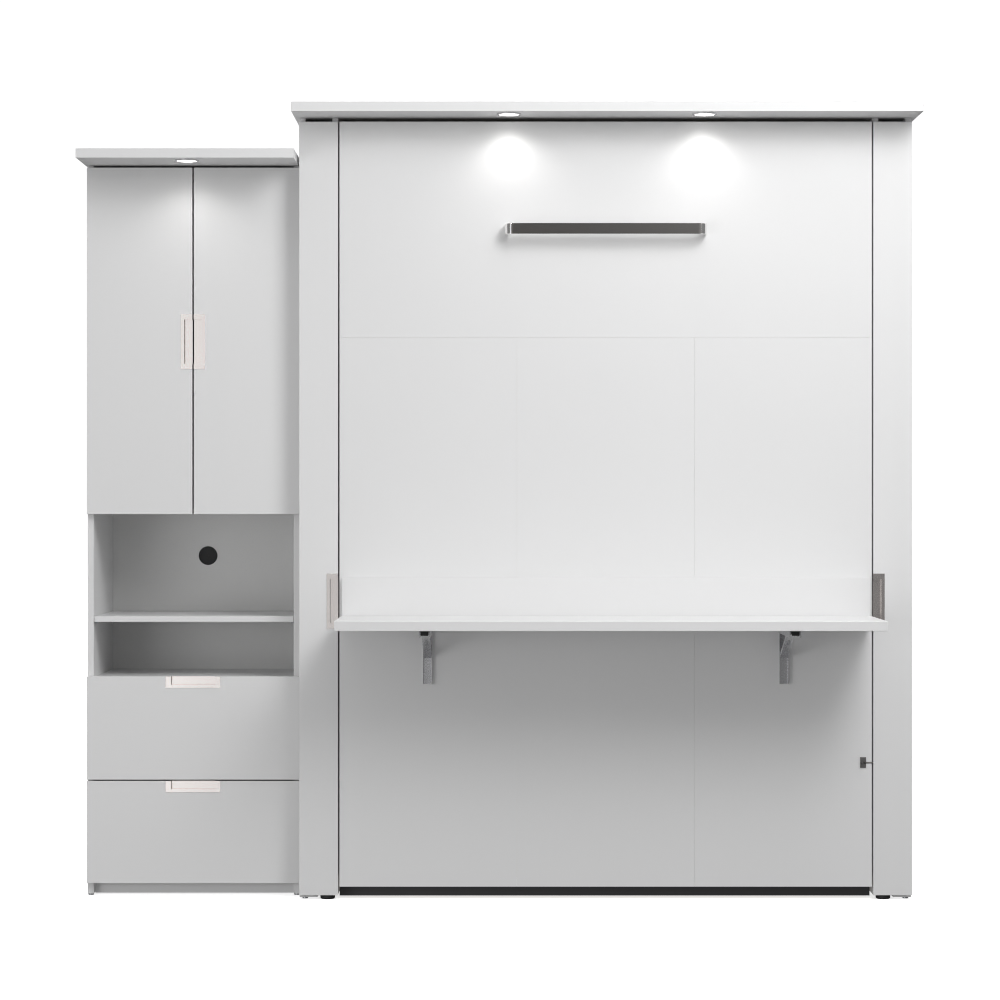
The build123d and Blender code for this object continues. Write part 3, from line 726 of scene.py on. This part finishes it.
# ---------------------------------------------------------------- sub-assemblies
@dataclass
class PackedParts:
    """The rigid parts, which keep their shape and get their finishes."""

    latch: tuple[str, ...] = ("latch_block", "latch_bolt")
    latch_slot: str = "latch_metal"

    def build(self) -> None:
        """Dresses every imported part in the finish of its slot."""
        used = set()
        for name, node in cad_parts.items():
            slot = self.latch_slot if name in self.latch else self._slot_of(node)
            for place in node.material_slots:
                place.material = FINISHES[slot].material()
            used.add(slot)
        log.info("%d packed parts dressed in %d finishes", len(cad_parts), len(used))

    def _slot_of(self, node: bpy.types.Object) -> str:
        """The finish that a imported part's own material is named for."""
        packed = node.material_slots[0].material.name
        for slot in sorted(FINISHES, key=len, reverse=True):
            if packed.startswith(slot):
                return slot
        raise ValueError(f"no finish for {node.name}, which is packed as {packed}")


@dataclass
class CableFlap:
    """The slit rubber flap in the cable hole of the niche."""

    petals: int = 8
    slit: float = 0.04 * MM
    thickness: float = 1.2 * MM
    ring: float = 3.8 * MM
    overlap: float = 0.4 * MM

    def build(self) -> bpy.types.Object:
        """Models one petal, copies it round and joins them.

        Returns:
            The flap.
        """
        low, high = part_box("cable_grommet")
        centre = (low + high) / 2
        radius = (high.x - low.x) / 2 - self.ring + self.overlap
        deselect()
        bpy.ops.mesh.primitive_circle_add(
            vertices=96, radius=radius, fill_type="NGON", location=(0, 0, 0)
        )
        petal = bpy.context.object
        half = math.pi / self.petals

        def cut() -> None:
            """Cuts the disc to one petal, half a slit away from its neighbours."""
            for side in (-1, 1):
                normal = Vector((math.sin(half), side * math.cos(half), 0))
                edge = normal * -self.slit / 2
                bpy.ops.mesh.select_all(action="SELECT")
                bpy.ops.mesh.bisect(plane_co=edge, plane_no=normal, clear_outer=True, use_fill=False)

        in_edit_mode(petal, cut)
        apply_modifier(petal, "SOLIDIFY", thickness=self.thickness, offset=0.0)
        petal.data.transform(Matrix.Rotation(math.pi / 2, 4, "X"))
        home = Matrix.Translation(centre)
        turned = [
            copied(petal, home @ Matrix.Rotation(2 * half * k, 4, "Y")) for k in range(self.petals)
        ]
        bpy.data.objects.remove(petal)
        return finished(joined(turned, "cable_flap"), "black_plastic", "cabinet")


@dataclass
class Mattress:
    """The mattress with its piping, side handles and vents."""

    shrink: float = 11 * MM
    corner: float = 60 * MM
    edge: float = 18 * MM
    voxel: float = 15 * MM
    pressure: float = 4.0
    frames: int = 20
    cap: float = 9 * MM
    quilt: float = 150 * MM
    quilt_depth: float = 5 * MM
    stitch_width: float = 14 * MM
    panel_from: float = 70 * MM
    panel_blend: float = 15 * MM
    plain_rim: float = 30 * MM
    rim_blend: float = 50 * MM
    piping: float = 3.5 * MM
    piping_depths: tuple[tuple[str, float], ...] = (("lower", 0.09), ("upper", 0.91))
    vent_places: tuple[float, ...] = (0.2, 0.32, 0.68, 0.8)
    vent_radius: float = 7 * MM
    vent_wire: float = 1.6 * MM
    handle_places: tuple[float, ...] = (0.26, 0.74)
    handle_reach: float = 70 * MM
    handle_width: float = 30 * MM

    def build(self) -> None:
        """Models the pad and what is sewn on it."""
        self.low, self.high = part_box("mattress")
        pad = self._pad()
        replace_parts(finished(pad, "ticking", "bed_leaf", 60.0), "mattress")
        for name, depth in self.piping_depths:
            self._pipe(f"mattress_piping_{name}", depth)
        self._vents()
        self._handles()

    def _pad(self) -> bpy.types.Object:
        """The stuffed pad: swollen under pressure, then quilted."""
        middle = (self.low + self.high) / 2
        size = self.high - self.low - Vector((1, 1, 1)) * 2 * self.shrink
        pad = block(middle, size, "mattress_pad")

        def round_corners() -> None:
            """Rounds the four corners seen from the sleeping side."""
            pick(pad, "edges", lambda centre, way: abs(way.y) > 0.9)
            bpy.ops.mesh.bevel(offset=self.corner - self.shrink, segments=8, affect="EDGES")

        in_edit_mode(pad, round_corners)
        limit = {"limit_method": "ANGLE", "angle_limit": math.radians(60)}
        apply_modifier(pad, "BEVEL", width=self.edge, segments=3, **limit)
        apply_modifier(pad, "REMESH", mode="VOXEL", voxel_size=self.voxel)
        self._swell(pad)
        apply_modifier(pad, "SUBSURF", levels=1, render_levels=1)
        self._quilt(pad)
        return pad

    def _swell(self, pad: bpy.types.Object) -> None:
        """Blows the pad up a little, as its filling does, and caps how far it moves."""
        start = [vertex.co.copy() for vertex in pad.data.vertices]
        select_only(pad)
        cloth = pad.modifiers.new("filling", "CLOTH")
        cloth.settings.quality = 3
        cloth.settings.use_pressure = True
        cloth.settings.uniform_pressure_force = self.pressure
        cloth.settings.effector_weights.gravity = 0.0
        cloth.point_cache.frame_start = 1
        cloth.point_cache.frame_end = self.frames
        scene = bpy.context.scene
        for step in range(1, self.frames + 1):
            scene.frame_set(step)
        bpy.ops.object.modifier_apply(modifier=cloth.name)
        scene.frame_set(1)
        for vertex, was in zip(pad.data.vertices, start):
            move = vertex.co - was
            if move.length > self.cap:
                vertex.co = was + move.normalized() * self.cap

    def _quilt(self, pad: bpy.types.Object) -> None:
        """Draws the quilting's crossed stitch lines into both panels."""
        middle = (self.low + self.high) / 2
        for vertex in pad.data.vertices:
            out = vertex.co - middle
            panel = rise(abs(out.y), self.panel_from, self.panel_blend)
            sides = (vertex.co - self.low, self.high - vertex.co)
            rim = min(min(side.x, side.z) for side in sides)
            runs = [(out.x + sign * out.z) / self.quilt for sign in (-1, 1)]
            across = [abs(run - round(run)) * self.quilt / math.sqrt(2) for run in runs]
            near = min(across) / self.stitch_width
            dent = self.quilt_depth * math.exp(-near * near) * panel
            dent *= rise(rim, self.plain_rim, self.rim_blend)
            vertex.co.y -= math.copysign(dent, out.y)

    def _pipe(self, name: str, depth: float) -> None:
        """A piped seam round the pad.

        Args:
            name: The piece's name.
            depth: Where it lies, from 0 at the slats to 1 at the sleeping side.
        """
        middle, size = (self.low + self.high) / 2, self.high - self.low
        inset = self.shrink - self.cap + self.piping + 1.5 * MM
        deselect()
        bpy.ops.mesh.primitive_plane_add(size=1.0, location=(0, 0, 0), rotation=(math.pi / 2, 0, 0))
        pipe = bpy.context.object
        pipe.name = name
        pipe.scale = (size.x - 2 * inset, size.z - 2 * inset, 1.0)
        pipe.location = (middle.x, self.low.y + depth * size.y, middle.z)
        settle(pipe)

        def trace() -> None:
            """Rounds the corners and leaves only the outline."""
            bpy.ops.mesh.select_all(action="SELECT")
            bpy.ops.mesh.bevel(offset=self.corner - inset, segments=10, affect="VERTICES")
            bpy.ops.mesh.select_all(action="SELECT")
            bpy.ops.mesh.delete(type="ONLY_FACE")

        in_edit_mode(pipe, trace)
        bpy.ops.object.convert(target="CURVE")
        pipe = bpy.context.object
        pipe.data.bevel_depth = self.piping
        pipe.data.bevel_resolution = 3
        bpy.ops.object.convert(target="MESH")
        finished(bpy.context.object, "ticking", "bed_leaf")

    def _vents(self) -> None:
        """Small metal air vents in both long borders."""
        middle = (self.low + self.high) / 2
        rings = []
        for side in (-1, 1):
            edge = self.low.x if side < 0 else self.high.x
            for share in self.vent_places:
                z = self.low.z + share * (self.high.z - self.low.z)
                deselect()
                bpy.ops.mesh.primitive_torus_add(
                    major_radius=self.vent_radius,
                    minor_radius=self.vent_wire,
                    major_segments=24,
                    minor_segments=8,
                    location=(edge - side * 3 * MM, middle.y, z),
                    rotation=(0, math.pi / 2, 0),
                )
                rings.append(bpy.context.object)
        finished(joined(rings, "mattress_vents"), "zinc", "bed_leaf")

    def _handles(self) -> None:
        """Two cloth carrying handles on each long border."""
        middle = (self.low + self.high) / 2
        loops = []
        for side in (-1, 1):
            edge = (self.low.x if side < 0 else self.high.x) - side * 2.0 * MM
            for share in self.handle_places:
                z = self.low.z + share * (self.high.z - self.low.z)
                path = [(edge, middle.y, z + reach * self.handle_reach) for reach in (-1, 0, 1)]
                across = Vector((0, self.handle_width, 0))
                loops.append(band(path, across, 1.6 * MM, 2 * MM, "handle"))
        finished(joined(loops, "mattress_handles"), "ticking", "bed_leaf")


@dataclass
class Straps:
    """The two straps that hold the mattress, with their buckles and stitching."""

    width: float = 40 * MM
    thickness: float = 1.8 * MM
    turn: float = 14 * MM
    ease: float = 1 * MM
    off: float = 1.2 * MM
    buckle: Point = (46 * MM, 5 * MM, 52 * MM)
    buckle_rim: float = 7 * MM
    buckle_sink: float = 2.6 * MM
    bar: Point = (5 * MM, 3.4 * MM, 39 * MM)
    bar_pitch: float = 9 * MM
    stitch: Point = (3.2 * MM, 0.7 * MM, 0.8 * MM)
    stitch_pitch: float = 4.5 * MM
    row_reach: float = 14 * MM
    box_start: float = 34 * MM
    box_end: float = 70 * MM

    def build(self) -> None:
        """Models both straps and what is on them."""
        low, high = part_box("mattress_straps")
        pad_low, pad_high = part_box("mattress")
        bands, buckles, stitches = [], [], []
        foot, back = low.y + self.ease, high.y - self.ease
        left, right = pad_low.x - self.off, pad_high.x + self.off
        for z in (low.z + self.width / 2, high.z - self.width / 2):
            path = [
                (low.x, foot, z),
                (left, foot, z),
                (left, back, z),
                (right, back, z),
                (right, foot, z),
                (high.x, foot, z),
            ]
            across = Vector((0, 0, self.width))
            bands.append(band(path, across, self.thickness, self.turn, "strap"))
            buckles.append(self._buckle(((left + right) / 2, back + 1.4 * MM, z)))
            stitches += self._stitches((left + right) / 2, back + self.thickness / 2, z)
        webbing = finished(joined(bands, "mattress_webbing"), "webbing", "bed_leaf")
        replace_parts(webbing, "mattress_straps")
        finished(joined(buckles, "strap_buckles"), "black_plastic", "bed_leaf")
        finished(joined(stitches, "strap_stitches"), "ticking", "bed_leaf")

    def _buckle(self, centre: Point) -> bpy.types.Object:
        """A ladder buckle lying on the strap.

        Args:
            centre: Its middle.

        Returns:
            The buckle.
        """
        buckle = block(centre, self.buckle, "buckle", 1.2 * MM)

        def sink() -> None:
            """Sinks a window into the buckle's outer face."""
            pick(buckle, "faces", lambda middle, normal: normal.y > 0.99)
            bpy.ops.mesh.inset(thickness=self.buckle_rim)
            down = (0, -self.buckle_sink, 0)
            bpy.ops.mesh.extrude_region_move(TRANSFORM_OT_translate={"value": down})

        in_edit_mode(buckle, sink)
        x, y, z = centre
        bars = [
            block((x + k * self.bar_pitch, y + 0.4 * MM, z), self.bar, "bar", 0.8 * MM)
            for k in (-1, 0, 1)
        ]
        return joined([buckle, *bars], "buckle")

    def _stitches(self, x: float, y: float, z: float) -> list[bpy.types.Object]:
        """A box of stitches on each side of the buckle.

        Args:
            x: The buckle's middle.
            y: The strap's outer face.
            z: The strap's middle.

        Returns:
            The stitches.
        """
        stitch = block((0, 0, 0), self.stitch, "stitch", 0.2 * MM)
        upright = copied(stitch, Matrix.Rotation(math.pi / 2, 4, "Y"))
        made = []
        for side in (-1, 1):
            for row in (-self.row_reach, self.row_reach):
                for k in range(9):
                    out = self.box_start + k * self.stitch_pitch
                    there = Vector((x + side * out, y, z + row))
                    made.append(copied(stitch, Matrix.Translation(there)))
            for column in (self.box_start, self.box_end):
                for k in range(-2, 3):
                    there = Vector((x + side * column, y, z + k * self.stitch_pitch))
                    made.append(copied(upright, Matrix.Translation(there)))
        bpy.data.objects.remove(stitch)
        bpy.data.objects.remove(upright)
        return made


# ---------------------------------------------------------------- studio
@dataclass
class Studio:
    """Pale floor, soft lights and the camera."""

    camera_at: Point = (0.0025, -7.458, 1.059)
    lens: float = 100.5
    pixel_filter: float = 1.0
    middle: Point = (0.1, 0.0, 1.1)
    key_to: Point = (0.2, 0.0, 1.5)
    high_to: Point = (0.2, 0.0, 1.2)
    left_size: float = 2.6
    key_power: float = 39.0
    key_at: Point = (1.47, -2.5, 2.95)
    high_power: float = 26.0
    high_at: Point = (1.47, -2.3, 3.6)
    key_size: float = 1.4
    left_power: float = 62.0
    left_at: Point = (-3.4, -4.6, 0.3)
    sky: float = 0.58
    even: float = 0.285
    backdrop: float = 1.05
    floor_size: float = 60.0
    floor_glow: float = 0.85
    floor_near: float = 2.4
    floor_blend: float = 3.0
    puck_power: float = 0.95
    tower_puck_power: float = 0.8
    puck_cone: float = 125.0
    puck_colour: Colour = (1.0, 0.985, 0.96)
    card_at: Point = (-4.6, -7.9, 1.0)
    card_size: Point = (7.4, 8.0, 1.0)
    card_glow: float = 0.56
    gloss_share: float = 0.6

    def build(self) -> None:
        """Sets up the world, floor, lights and camera."""
        bpy.context.scene.view_settings.view_transform = "Standard"
        bpy.context.scene.cycles.filter_width = self.pixel_filter
        self._world()
        self._floor()
        self._card()
        self._area("key", self.key_at, self.key_to, self.key_power, self.key_size)
        self._area("high_key", self.high_at, self.high_to, self.high_power, self.key_size)
        self._area("left_fill", self.left_at, self.middle, self.left_power, self.left_size)
        self._pucks()
        self._camera()

    def _world(self) -> None:
        """White to the camera, and a soft gradient for the light it gives."""
        world = bpy.data.worlds.new("studio")
        bpy.context.scene.world = world
        painter = Painter(world)
        direction = painter.read(painter.node("ShaderNodeTexCoord"), "Generated")
        height = painter.read(painter.node("ShaderNodeSeparateXYZ", None, {0: direction}), "Z")
        level = painter.maths("MAXIMUM", height, 0.0) * self.sky + self.even
        rays = painter.node("ShaderNodeLightPath")
        level = level * (1 - painter.read(rays, "Is Glossy Ray") * (1 - self.gloss_share))
        soft, plain = (
            painter.node("ShaderNodeBackground", None, {"Color": (1, 1, 1), "Strength": strength})
            for strength in (level, self.backdrop)
        )
        seen = painter.read(rays, "Is Camera Ray")
        inputs = {0: seen, 1: painter.read(soft), 2: painter.read(plain)}
        mixed = painter.node("ShaderNodeMixShader", None, inputs)
        painter.tree.links.new(mixed.outputs[0], painter.tree.nodes["World Output"].inputs[0])

    def _floor(self) -> None:
        """A wide pale floor that throws no light back on the object."""
        deselect()
        bpy.ops.mesh.primitive_plane_add(size=self.floor_size, location=(0, 0, 0))
        floor = bpy.context.object
        floor.name = "studio_floor"
        painter = Painter(bpy.data.materials.new("floor_paper"))
        cloud = painter.noise(1.5, 2.0)
        painter.set("Base Color", painter.mix((0.95, 0.95, 0.95), (0.97, 0.97, 0.97), cloud))
        painter.set("Roughness", 0.9)
        painter.set("Specular IOR Level", 0.1)
        length = painter.node("ShaderNodeVectorMath", {"operation": "LENGTH"}, {0: painter.place()})
        far = painter.read(length, "Value").past(self.floor_near, self.floor_blend)
        painter.set("Emission Color", painter.mix((0.72, 0.72, 0.72), (1.0, 1.0, 1.0), far))
        painter.set("Emission Strength", self.floor_glow)
        floor.data.materials.append(painter.owner)
        floor.visible_diffuse = False
        floor.visible_glossy = False

    def _card(self) -> None:
        """A white card behind the camera at the left, which only shows in the metal."""
        deselect()
        upright = (math.pi / 2, 0, 0)
        bpy.ops.mesh.primitive_plane_add(size=1.0, location=self.card_at, rotation=upright)
        card = bpy.context.object
        card.name = "studio_card"
        card.scale = self.card_size
        painter = Painter(bpy.data.materials.new("card_paper"))
        cloud = painter.noise(2.0)
        painter.set("Base Color", painter.mix((0.9, 0.9, 0.9), (0.95, 0.95, 0.95), cloud))
        painter.set("Emission Color", (1.0, 1.0, 1.0))
        painter.set("Emission Strength", self.card_glow)
        card.data.materials.append(painter.owner)
        card.visible_diffuse = False
        card.visible_camera = False
        card.visible_shadow = False

    def _area(self, name: str, at: Point, to: Point, power: float, size: float) -> None:
        """A square soft light.

        Args:
            name: Its name.
            at: Where it stands.
            to: Where it points.
            power: In watts.
            size: Its side in metres.
        """
        lamp = bpy.data.lights.new(name, "AREA")
        lamp.energy, lamp.size = power, size
        self._point(bpy.data.objects.new(name, lamp), at, to)

    def _point(self, thing: bpy.types.Object, at: Point | Vector, to: Point | Vector) -> None:
        """Stands a light or the camera somewhere and points it."""
        thing.location = at
        thing.rotation_euler = (Vector(to) - Vector(at)).to_track_quat("-Z", "Y").to_euler()
        bpy.context.scene.collection.objects.link(thing)

    def _pucks(self) -> None:
        """A small spot under each lit lens."""
        for number, centre in enumerate(self._lens_middles()):
            lamp = bpy.data.lights.new(f"puck_{number}", "SPOT")
            lamp.energy = self.puck_power if number else self.tower_puck_power
            lamp.spot_size = math.radians(self.puck_cone)
            lamp.spot_blend = 0.9
            lamp.shadow_soft_size = 0.02
            lamp.color = self.puck_colour
            at = centre - Vector((0, 0, 4 * MM))
            self._point(bpy.data.objects.new(lamp.name, lamp), at, at + Vector((0, 0.2, -1.0)))

    def _lens_middles(self) -> list[Vector]:
        """The middle of each lens's lower face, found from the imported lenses."""
        points = [vertex.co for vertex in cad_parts["light_lenses"].data.vertices]
        groups: list[list[Vector]] = []
        for point in sorted(points, key=lambda p: p.x):
            if groups and point.x - groups[-1][-1].x < 0.1:
                groups[-1].append(point)
            else:
                groups.append([point])
        middles = []
        for group in groups:
            middle = sum(group, Vector()) / len(group)
            middle.z = min(point.z for point in group)
            middles.append(middle)
        return middles

    def _camera(self) -> None:
        """The camera, looking straight at the front."""
        camera = bpy.data.cameras.new("camera")
        camera.lens = self.lens
        camera.clip_end = 100.0
        holder = bpy.data.objects.new("camera", camera)
        at = Vector(self.camera_at)
        self._point(holder, self.camera_at, at + Vector((0, 1, 0)))
        bpy.context.scene.camera = holder


def main() -> None:
    """Builds everything in order."""
    logging.basicConfig(level=logging.INFO, format="%(name)s: %(message)s", force=True)
    for assembly in (PackedParts(), CableFlap(), Mattress(), Straps(), Studio()):
        assembly.build()


if __name__ == "__main__":
    main()
